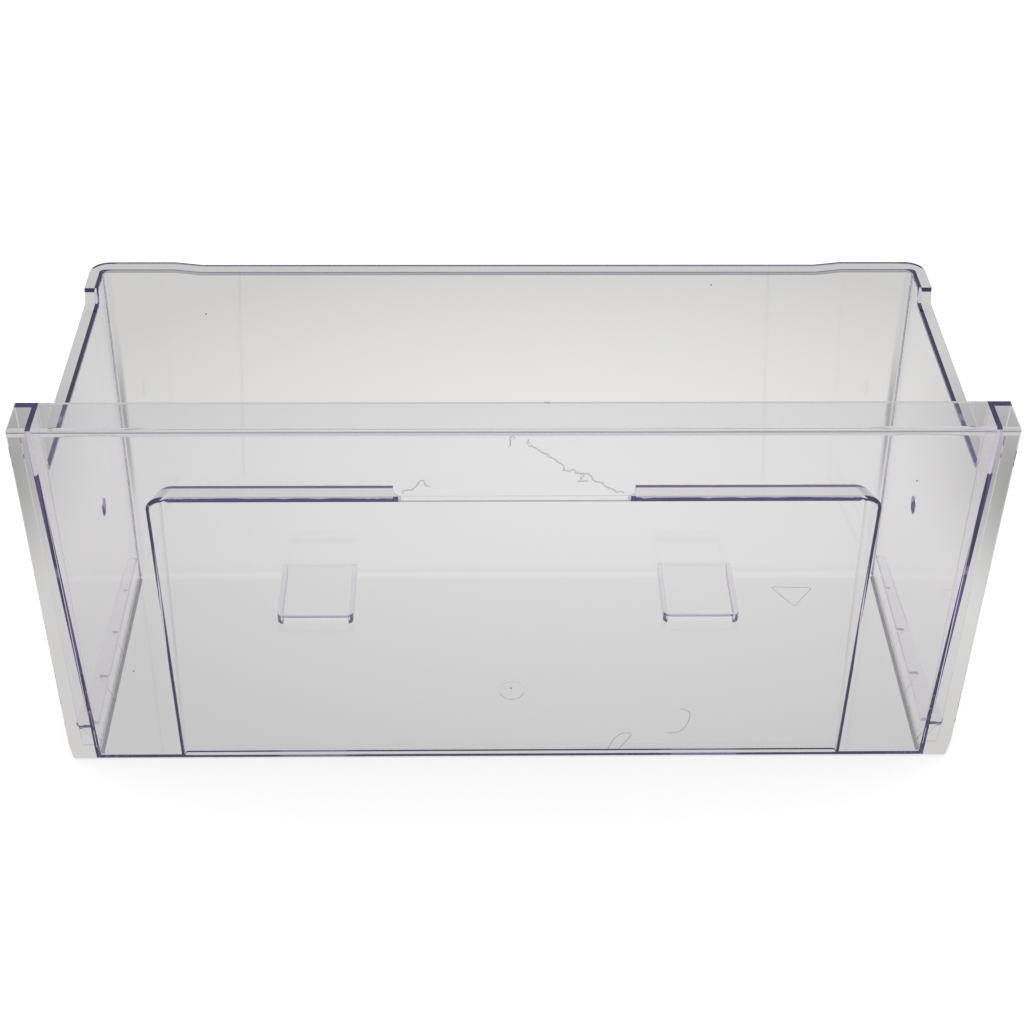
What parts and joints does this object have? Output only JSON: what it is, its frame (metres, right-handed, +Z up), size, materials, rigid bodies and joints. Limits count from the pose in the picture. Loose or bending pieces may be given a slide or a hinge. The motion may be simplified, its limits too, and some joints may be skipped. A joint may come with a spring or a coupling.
{
  "type": "fridge drawer",
  "caption": "Clear moulded fridge drawer: drafted tray with a lipped rim, side runners and a leaning front panel with a shallow grip recess and a finger slot.",
  "frame": {"origin": "centre of the drawer's box on the plane of its foot", "axes": "+Z up, -Y towards the front panel's face, +X to the right seen from the front"},
  "size_m": [0.46, 0.2099, 0.22],
  "materials": {
    "clear_polystyrene": "clear injection-moulded polystyrene, glossy, faintly violet along its edges"
  },
  "bodies": {
    "root": {"drawer": "clear_polystyrene"}
  },
  "joints": []
}
